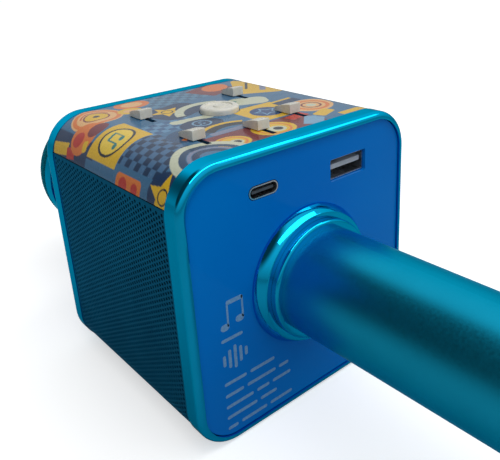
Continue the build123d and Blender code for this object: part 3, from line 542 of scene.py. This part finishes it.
class Sheet:
    """Ink laid on the points of the film, in millimetres: s across from the middle and t along."""

    def __init__(self, s, t):
        self.s, self.t = s, t
        self.rgb = np.tile(np.array(linear(*SLATE)[:3]), (len(s), 1))

    def ink(self, colour, distance):
        """Colours the points where a shape's signed distance is negative, with a soft edge."""
        cover = np.clip(0.5 - distance / INK_EDGE, 0, 1)[:, None]
        self.rgb = self.rgb * (1 - cover) + np.array(linear(*colour)[:3]) * cover

    def local(self, x, y, turn=0):
        c, s = cos(radians(turn)), sin(radians(turn))
        a, b = self.s - x, self.t - y
        return a * c + b * s, b * c - a * s

    def disc(self, x, y, radius, stretch=1.0, turn=0):
        a, b = self.local(x, y, turn)
        return np.hypot(a / stretch, b) - radius

    def ring(self, x, y, radius, width):
        return np.abs(self.disc(x, y, radius)) - width / 2

    def slab(self, x, y, width, height, turn=0, soft=0.0):
        a, b = self.local(x, y, turn)
        dx, dy = np.abs(a) - width / 2 + soft, np.abs(b) - height / 2 + soft
        return np.hypot(np.maximum(dx, 0), np.maximum(dy, 0)) + np.minimum(np.maximum(dx, dy), 0) - soft

    def star(self, x, y, radius, turn=0, waist=0.45):
        a, b = self.local(x, y, turn)
        sector = 2 * pi / 5
        angle = np.abs((np.arctan2(a, b) + sector / 2) % sector - sector / 2)
        px, py = np.hypot(a, b) * np.sin(angle), np.hypot(a, b) * np.cos(angle)
        edge_x, edge_y = radius * waist * sin(sector / 2), radius * (waist * cos(sector / 2) - 1)
        return (edge_x * (py - radius) - edge_y * px) / np.hypot(edge_x, edge_y)

    def arc(self, x, y, radius, width, start, end):
        """Part of a ring, between two angles in degrees from +s."""
        a, b = self.local(x, y)
        middle, spread = radians((start + end) / 2), radians((end - start) / 2)
        off = np.abs((np.arctan2(b, a) - middle + pi) % (2 * pi) - pi) - spread
        return np.maximum(self.ring(x, y, radius, width), off * radius)

    def note(self, x, y, size):
        """A pair of joined eighth notes."""
        heads = np.minimum(self.disc(x - 0.42 * size, y - 0.6 * size, 0.22 * size, 1.3, 20),
                           self.disc(x + 0.42 * size, y - 0.45 * size, 0.22 * size, 1.3, 20))
        stems = np.minimum(self.slab(x - 0.18 * size, y, 0.12 * size, 1.25 * size),
                           self.slab(x + 0.66 * size, y + 0.15 * size, 0.12 * size, 1.25 * size))
        return np.minimum(np.minimum(heads, stems),
                          self.slab(x + 0.24 * size, y + 0.7 * size, 0.92 * size, 0.26 * size, 10))

    def checks(self, x, y, width, height, square, dark, light):
        a, b = self.local(x, y)
        inside = self.slab(x, y, width, height)
        self.ink(light, inside)
        wave = np.sin(pi * a / square) * np.sin(pi * b / square) * square / pi
        self.ink(dark, np.maximum(inside, wave))


def artwork(sheet):
    """Stars, records, notes, checks and stripes."""
    ink = sheet.ink
    # Checked fields and large areas
    sheet.checks(-31, -16, 13.2, 19.8, 2.2, (22, 54, 88), (70, 112, 152))
    sheet.checks(-18, -2.4, 15.4, 8.8, 2.2, (42, 92, 138), SLATE_LIGHT)
    sheet.checks(0, 24.2, 22, 13.2, 2.2, (48, 98, 134), (82, 134, 166))
    ink(NAVY, sheet.slab(-8.5, 9.5, 18, 13, 20, 4))
    ink(NAVY, sheet.slab(-40, 19, 9, 26, 0, 2))
    ink(MAROON, sheet.slab(-3, -25.6, 33, 12.5))
    ink(MAROON, sheet.slab(14, 24, 13, 12, 20, 1))
    # Left edge: tilted patches
    ink(YELLOW, sheet.slab(-40.6, 25.5, 3.6, 9, 8))
    ink(RED, sheet.slab(-40.8, 19.2, 3.2, 4.6, 8))
    ink(ORANGE, sheet.slab(-42, -13.5, 5.6, 12, 0, 1.5))
    ink(RED, sheet.disc(-42, -11, 2.0))
    ink(RED, sheet.disc(-41.8, -16.5, 1.5))
    # Record with orange and peach rings
    ink(PEACH, sheet.disc(-27, 22.6, 7.6))
    ink(ORANGE, sheet.ring(-27, 22.6, 6.4, 1.3))
    ink((196, 84, 40), sheet.arc(-27, 22.6, 4.6, 0.6, 20, 150))
    ink(YELLOW, sheet.disc(-27, 22.6, 3.6))
    ink(MAROON, sheet.ring(-27, 22.6, 3.6, 0.5))
    ink(INK, sheet.disc(-27, 22.6, 1.0))
    ink(ORANGE, sheet.disc(-13.4, 27, 4.6, 1.2))
    ink(PEACH, sheet.disc(-13.4, 27, 2.8, 1.2))
    ink(YELLOW, sheet.disc(-17.4, 20.4, 3.4, 1.1))
    ink(PEACH, sheet.disc(-17.4, 20.4, 1.8, 1.1))
    # Drum in orange and red
    ink(ORANGE, sheet.disc(-35, 16.2, 5.2, 1.1))
    ink(RED, sheet.disc(-36.4, 17.6, 2.4))
    ink(MAROON, sheet.disc(-31.2, 13.6, 2.8, 1.2))
    ink(YELLOW, sheet.slab(-37.4, 12.6, 3.4, 2.2, 20, 0.8))
    # Yellow square with a ring and a pair of notes
    ink(YELLOW, sheet.slab(-32.2, 2, 14.4, 15.5))
    ink((244, 208, 70), sheet.disc(-32.2, 2, 5.2))
    ink(INK, sheet.ring(-32.2, 2, 5.3, 0.75))
    ink(TEAL, sheet.note(-32.6, 1.9, 3.6))
    ink(SLATE, sheet.slab(-41.6, 2, 3.2, 15.5))
    # Stars with a ring
    for x, y, radius, turn in ((-10.8, 10.8, 5.4, 12), (-40.3, -28.8, 6.0, -14)):
        ink(NAVY, sheet.disc(x, y, radius * 1.05))
        ink(YELLOW, sheet.star(x, y, radius, turn))
        ink(INK, sheet.ring(x, y, radius * 0.3, 0.42))
    # Arcs round the button and pale patches beside it
    ink(CREAM, sheet.arc(-0.4, 1.0, 10.6, 2.6, 55, 168))
    ink(NAVY, sheet.arc(-0.4, 1.0, 8.3, 1.8, 30, 170))
    ink(CREAM, sheet.slab(12.5, 2.6, 12, 8.4, -24, 3))
    ink(TEAL, sheet.slab(7.2, 3.6, 6, 1.2, 35))
    ink(CREAM, sheet.slab(-10.6, -1.8, 13, 3.4, -6, 1.4))
    ink(INK, sheet.arc(0, 0, 9.2, 1.4, -52, -18))
    # Tiles along the near edge
    ink((36, 78, 118), sheet.disc(-19.4, -13.4, 5.2, 1.25, 20))
    ink(NAVY, sheet.disc(-11.4, -7.6, 5.0, 1.25))
    ink(SKY, sheet.ring(-10.8, -6.8, 2.5, 0.5))
    ink(SKY, sheet.note(-11.1, -6.8, 1.5))
    ink(ORANGE, sheet.slab(-21.4, -15.6, 3.4, 1.4, 30))
    ink(YELLOW, sheet.arc(-8.6, -22.4, 11.0, 1.4, 55, 128))
    ink(INK, sheet.arc(-8.6, -22.4, 8.9, 2.8, 45, 135))
    ink(LILAC, sheet.slab(-8.6, -17.9, 14.4, 2.4, 2, 0.8))
    ink(YELLOW, sheet.slab(8.2, -10.9, 15.2, 15.2))
    ink(COBALT, sheet.disc(8.2, -11.1, 4.8))
    ink(SKY, sheet.star(8.2, -11.1, 3.9, 0, 0.5))
    ink(COBALT, sheet.star(8.2, -11.1, 2.9, 0, 0.5))
    # Drums on the maroon band
    for x, y, radius in ((-15.2, -26.4, 4.3), (-1.4, -25.4, 5.6)):
        ink(YELLOW, sheet.disc(x, y, radius, 1.1))
        ink(ORANGE, sheet.ring(x, y, radius * 0.8, 0.6))
        ink(CREAM, sheet.disc(x + 0.4, y - 0.8, radius * 0.42, 1.1))
        ink(INK, sheet.disc(x + 0.8, y - 0.8, radius * 0.24))
    ink(RED, sheet.slab(10.4, -21.2, 7, 3.4, 12))
    ink(SKY, sheet.slab(11, -27.4, 8, 5.4, 45))
    ink(SLATE, sheet.slab(18, -27, 6, 7, 30))
    # Part of a record at the near edge
    for radius, width, colour in ((9.4, 2.2, CREAM), (7.4, 1.8, (30, 68, 104)), (5.8, 1.0, LILAC),
                                  (4.2, 1.8, NAVY)):
        ink(colour, sheet.arc(-24.4, -31.4, radius, width, 0, 180))
    # Right-hand side: stripes and a record
    ink(YELLOW, sheet.slab(27, 17, 15, 21, -32, 2))
    ink(INK, sheet.slab(25.5, 20, 0.9, 11, -38, 0.4))
    ink(LILAC, sheet.slab(28.8, 15.6, 2.0, 13, -38, 0.9))
    ink(ORANGE, sheet.disc(16.6, 25.6, 4.2, 1.3, 40))
    ink(YELLOW, sheet.slab(18.6, -4.6, 9, 1.2, 4))
    ink(NAVY, sheet.slab(19.4, -7, 9, 3.6, 4))
    ink(PEACH, sheet.disc(21.2, -15.6, 6.4, 1.1, 30))
    ink(ORANGE, sheet.ring(21.2, -15.6, 4.8, 1.2))
    ink(MAROON, sheet.ring(21.2, -15.6, 2.8, 0.6))
    ink(CREAM, sheet.disc(21.2, -15.6, 1.5))
    ink(YELLOW, sheet.slab(18, -24, 7, 4, 20, 1))
    ink(YELLOW, sheet.slab(26, -28.6, 12, 2.6, 0))
    ink(NAVY, sheet.slab(38, 0, 13, 58, 0, 2))
    sheet.checks(37.4, -12, 8.8, 17.6, 2.2, (42, 92, 138), SLATE_LIGHT)
    ink(YELLOW, sheet.star(37.2, 14, 5.2, 10))
    ink(INK, sheet.ring(37.2, 14, 1.6, 0.42))


def film_lines(start, end, cuts):
    """Grid lines about a step apart, with one on each cut."""
    cuts = sorted({start, end, *cuts})
    lines = []
    for a, b in zip(cuts, cuts[1:]):
        steps = max(1, round((b - a) / FILM_STEP))
        lines += list(np.linspace(a, b, steps + 1)[:-1])
    return np.array(lines + [cuts[-1]])


def cover_film():
    """A thin film on the outside of the cover, cut out for the slots and the button."""
    half = cover_high.z - AXIS_Z + FILM_T
    corner = CUBE_CORNER - (CUBE_HALF - half)
    flat = half - corner
    reach = flat + corner * (pi / 2 - asin((COVER_EDGE - flat) / corner)) - FILM_T
    slots = []
    for control in CONTROLS:
        low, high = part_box(control + "_knob")
        slots.append(((low.x + high.x) / 2, low.y))
    button_low, button_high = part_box("power_button")
    button = ((button_low.x + button_high.x) / 2, (button_low.y + button_high.y) / 2)
    across = film_lines(-reach, reach, [x + side * SLOT_HALF_X for x, _ in slots for side in (-1, 1)])
    along = film_lines(cover_low.y + FILM_T, cover_high.y - FILM_T,
                       [y + side * SLOT_HALF_Y for _, y in slots for side in (-1, 1)])
    s, y = (grid.ravel() for grid in np.meshgrid(across, along, indexing="ij"))
    rows, columns = len(across), len(along)
    corner_index = np.arange(rows * columns).reshape(rows, columns)
    quads = np.stack([corner_index[:-1, :-1], corner_index[1:, :-1], corner_index[1:, 1:],
                      corner_index[:-1, 1:]], -1).reshape(-1, 4)
    middle_s, middle_y = s[quads].mean(1), y[quads].mean(1)
    cut = np.hypot(middle_s - button[0], middle_y - button[1]) < BUTTON_HOLE_R
    round_edge = np.intersect1d(quads[cut], quads[~cut])
    for x, slot_y in slots:
        cut |= (np.abs(middle_s - x) < SLOT_HALF_X) & (np.abs(middle_y - slot_y) < SLOT_HALF_Y)
    away = np.hypot(s[round_edge] - button[0], y[round_edge] - button[1])
    s[round_edge] = button[0] + (s[round_edge] - button[0]) * BUTTON_HOLE_R / away
    y[round_edge] = button[1] + (y[round_edge] - button[1]) * BUTTON_HOLE_R / away
    used, quads = np.unique(quads[~cut], return_inverse=True)
    s, y, quads = s[used], y[used], quads.reshape(-1, 4)

    sheet = Sheet(s / MM, (y - MIDDLE_Y) / MM)
    artwork(sheet)
    (x, z), _ = around(s, half, corner)
    piece = mesh_object("cover_print", np.stack([x, y, AXIS_Z + z], 1), quads.tolist(), smooth=True)
    colour = piece.data.color_attributes.new("print", "FLOAT_COLOR", "POINT")
    colour.data.foreach_set("color", np.c_[sheet.rgb, np.ones(len(s))].astype(np.float32).ravel())
    piece.data.materials.append(print_film().material)
    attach(piece, SHELL)


cover_film()


# ---- Pale marks on the end panel -------------------------------------------------------

MARK_T = 0.02 * MM
LINE_HEIGHT = 0.95 * MM
LINES = [                       # height above the axis, then the lengths of the bars in it
    (-20.4, (7.0, 8.2)),
    (-24.0, (5.8, 9.6, 3.4)),
    (-27.4, (8.8, 4.2, 6.4)),
    (-30.7, (9.8, 5.6)),
    (-34.0, (3.2, 8.6, 7.8)),
]
LINES_X = -29.8
BAR_GAP = 1.2
LEVELS = (3.2, 5.4, 6.8, 4.6, 2.6)      # heights of the bars in the sound-level mark
LEVELS_X, LEVELS_Z, LEVEL_PITCH, LEVEL_W = -29.2, -13.4, 1.7, 0.9
RULE = (-26.4, -7.6, 6.6, 0.9)          # middle, width and height of the line over the levels
NOTE_HEADS = ((-28.2, -4.0), (-23.6, -3.2))
NOTE_HEAD_SIZE, NOTE_STEM_SIZE, NOTE_STEM_SHIFT = (2.6, 1.9), (0.55, 6.2), (1.0, 3.0)
NOTE_BEAM = (-24.9, 2.5, 5.1, 1.2)


def rounded_bar(x, z, width, height, points_each=4):
    """Outline of a bar with round ends, centred at (x, z), in millimetres."""
    radius = min(width, height) / 2
    outline = []
    for start, cx, cz in ((0, 1, 1), (90, -1, 1), (180, -1, -1), (270, 1, -1)):
        for k in range(points_each + 1):
            angle = radians(start + 90 * k / points_each)
            outline.append((x + cx * (width / 2 - radius) + radius * cos(angle),
                            z + cz * (height / 2 - radius) + radius * sin(angle)))
    return outline


def panel_marks():
    """Bars in place of writing, a pair of notes and a sound-level mark, as one thin layer of ink."""
    outlines = []
    for height, lengths in LINES:
        x = LINES_X
        for length in lengths:
            outlines.append(rounded_bar(x + length / 2, height, length, LINE_HEIGHT / MM))
            x += length + BAR_GAP
    for k, height in enumerate(LEVELS):
        outlines.append(rounded_bar(LEVELS_X + LEVEL_PITCH * k, LEVELS_Z, LEVEL_W, height))
    outlines.append(rounded_bar(*RULE))
    for x, z in NOTE_HEADS:
        outlines.append(rounded_bar(x, z, *NOTE_HEAD_SIZE))
        outlines.append(rounded_bar(x + NOTE_STEM_SHIFT[0], z + NOTE_STEM_SHIFT[1], *NOTE_STEM_SIZE))
    outlines.append(rounded_bar(*NOTE_BEAM))
    front = panel_low.y - MARK_T
    points, faces = [], []
    for outline in outlines:
        start, count = len(points), len(outline)
        for y in (front, panel_low.y + MARK_T / 2):
            points += [(x * MM, y, AXIS_Z + z * MM) for x, z in outline]
        faces.append([start + k for k in range(count)])
        faces.append([start + count + k for k in reversed(range(count))])
        for k in range(count):
            after = (k + 1) % count
            faces.append([start + k, start + count + k, start + count + after, start + after])
    piece = mesh_object("panel_marks", points, faces)
    piece.data.materials.append(panel_ink().material)
    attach(piece, SHELL)


panel_marks()


# ---- Floor, light and camera -----------------------------------------------------------

FLOOR_HALF = 8.0
FLOOR_GAP = 0.05 * MM
FLOOR_BOUNCE = (0.50, 0.51, 0.52, 1)    # what the floor throws back on the object
FLOOR_SEEN = (0.90, 0.90, 0.90, 1)      # what the camera sees of it
FLOOR_GLOW = 0.55
SKY_LIGHT = [(0.0, 0.30), (0.08, 0.40), (0.35, 0.62), (0.62, 0.75), (1.0, 0.8)]     # height, brightness
SKY_TINT = (0.97, 1.0, 1.02)
SCREEN_TOWARDS = (-0.63, 0.37, 0.68)
SCREEN_RANGE = (("From Min", 0.70), ("From Max", 0.88), ("To Min", 1.0), ("To Max", 0.08))
SOFTBOXES = (                           # name, direction, distance, size, watts
    ("strip", (0.05, -0.33, 0.94), 0.55, (0.75, 0.10), 0.95),
    ("fill", (0.75, -0.45, 0.75), 0.9, (0.30, 0.30), 0.45),
)

def shader_node(tree, kind, **settings):
    made = tree.nodes.new("ShaderNode" + kind)
    for key, value in settings.items():
        setattr(made, key, value)
    return made


def studio_floor():
    """A wide pale table top. The eye sees it nearly white; what it throws back on the object is softer."""
    z = cad_box[0].z - FLOOR_GAP
    corners = [(x * FLOOR_HALF, y * FLOOR_HALF, z) for x, y in ((-1, -1), (1, -1), (1, 1), (-1, 1))]
    floor = mesh_object("floor", corners, [[0, 1, 2, 3]])
    material = bpy.data.materials.new("floor")
    material.use_nodes = True
    tree = material.node_tree
    shader = tree.nodes["Principled BSDF"]
    shader.inputs["Roughness"].default_value = 0.9
    shader.inputs["Specular IOR Level"].default_value = 0.0
    ray = shader_node(tree, "LightPath")
    mix = shader_node(tree, "Mix", data_type="RGBA")
    socket(mix.inputs, "A").default_value = FLOOR_BOUNCE
    socket(mix.inputs, "B").default_value = FLOOR_SEEN
    tree.links.new(ray.outputs["Is Camera Ray"], socket(mix.inputs, "Factor"))
    tree.links.new(socket(mix.outputs, "Result"), shader.inputs["Base Color"])
    shader.inputs["Emission Color"].default_value = (1, 1, 1, 1)
    glow = shader_node(tree, "Math", operation="MULTIPLY")
    glow.inputs[1].default_value = FLOOR_GLOW
    tree.links.new(ray.outputs["Is Camera Ray"], glow.inputs[0])
    tree.links.new(glow.outputs["Value"], shader.inputs["Emission Strength"])
    floor.data.materials.append(material)


def studio_world():
    """Bright overhead, softer at the sides, with one dark screen high on the object's left.

    The camera itself sees plain white.
    """
    world = bpy.data.worlds.new("studio")
    bpy.context.scene.world = world
    world.use_nodes = True
    tree = world.node_tree
    background = tree.nodes["Background"]
    direction = shader_node(tree, "TexCoord").outputs["Generated"]
    parts = shader_node(tree, "SeparateXYZ")
    tree.links.new(direction, parts.inputs["Vector"])
    sky = shader_node(tree, "ValToRGB")
    elements = sky.color_ramp.elements
    while len(elements) < len(SKY_LIGHT):
        elements.new(0.5)
    for element, (height, light) in zip(elements, SKY_LIGHT):
        element.position = height
        element.color = (*(light * tint for tint in SKY_TINT), 1)
    tree.links.new(parts.outputs["Z"], sky.inputs["Fac"])
    facing = shader_node(tree, "VectorMath", operation="DOT_PRODUCT")
    facing.inputs[1].default_value = Vector(SCREEN_TOWARDS).normalized()
    tree.links.new(direction, facing.inputs[0])
    screen = shader_node(tree, "MapRange", interpolation_type="SMOOTHSTEP")
    for name, value in SCREEN_RANGE:
        screen.inputs[name].default_value = value
    tree.links.new(facing.outputs["Value"], screen.inputs["Value"])
    shaded = shader_node(tree, "Mix", data_type="RGBA", blend_type="MULTIPLY")
    socket(shaded.inputs, "Factor").default_value = 1.0
    tree.links.new(sky.outputs["Color"], socket(shaded.inputs, "A"))
    tree.links.new(screen.outputs["Result"], socket(shaded.inputs, "B"))
    ray = shader_node(tree, "LightPath")
    seen = shader_node(tree, "Mix", data_type="RGBA")
    tree.links.new(ray.outputs["Is Camera Ray"], socket(seen.inputs, "Factor"))
    tree.links.new(socket(shaded.outputs, "Result"), socket(seen.inputs, "A"))
    socket(seen.inputs, "B").default_value = (1, 1, 1, 1)
    tree.links.new(socket(seen.outputs, "Result"), background.inputs["Color"])


def softbox(name, direction, distance, size, energy):
    """A rectangular light that faces the cube's middle."""
    data = bpy.data.lights.new(name, "AREA")
    data.shape = "RECTANGLE"
    data.size, data.size_y = size
    data.energy = energy
    lamp = bpy.data.objects.new(name, data)
    target = Vector((0, MIDDLE_Y, AXIS_Z))
    towards = Vector(direction).normalized()
    lamp.location = target + towards * distance
    lamp.rotation_euler = towards.to_track_quat("Z", "Y").to_euler()
    bpy.context.scene.collection.objects.link(lamp)


CAMERA_AZIMUTH, CAMERA_ELEVATION, CAMERA_ROLL = -40.34, 20.95, -2.67
CAMERA_DISTANCE = 150.45 * MM
CAMERA_TARGET = Vector((-9.13 * MM, rim_low.y, AXIS_Z + 29.71 * MM))
CAMERA_LENS = 44.98
CAMERA_SHIFT = (-0.06, -0.104)


def camera():
    azimuth, elevation, roll = (radians(a) for a in (CAMERA_AZIMUTH, CAMERA_ELEVATION, CAMERA_ROLL))
    back = Vector((sin(azimuth) * cos(elevation), -cos(azimuth) * cos(elevation), sin(elevation)))
    level_right = Vector((0, 0, 1)).cross(back).normalized()
    level_up = back.cross(level_right)
    right = level_right * cos(roll) + level_up * sin(roll)
    up = level_up * cos(roll) - level_right * sin(roll)
    data = bpy.data.cameras.new("camera")
    data.lens = CAMERA_LENS
    data.sensor_width = 36.0
    data.shift_x, data.shift_y = CAMERA_SHIFT
    data.clip_start = 0.01
    eye = bpy.data.objects.new("camera", data)
    turn = Matrix((right, up, back)).transposed()
    eye.matrix_world = Matrix.Translation(CAMERA_TARGET + back * CAMERA_DISTANCE) @ turn.to_4x4()
    bpy.context.scene.collection.objects.link(eye)
    bpy.context.scene.camera = eye


studio_floor()
studio_world()
for settings in SOFTBOXES:
    softbox(*settings)
camera()

scene = bpy.context.scene
scene.view_settings.view_transform = "Standard"
scene.view_settings.look = "None"
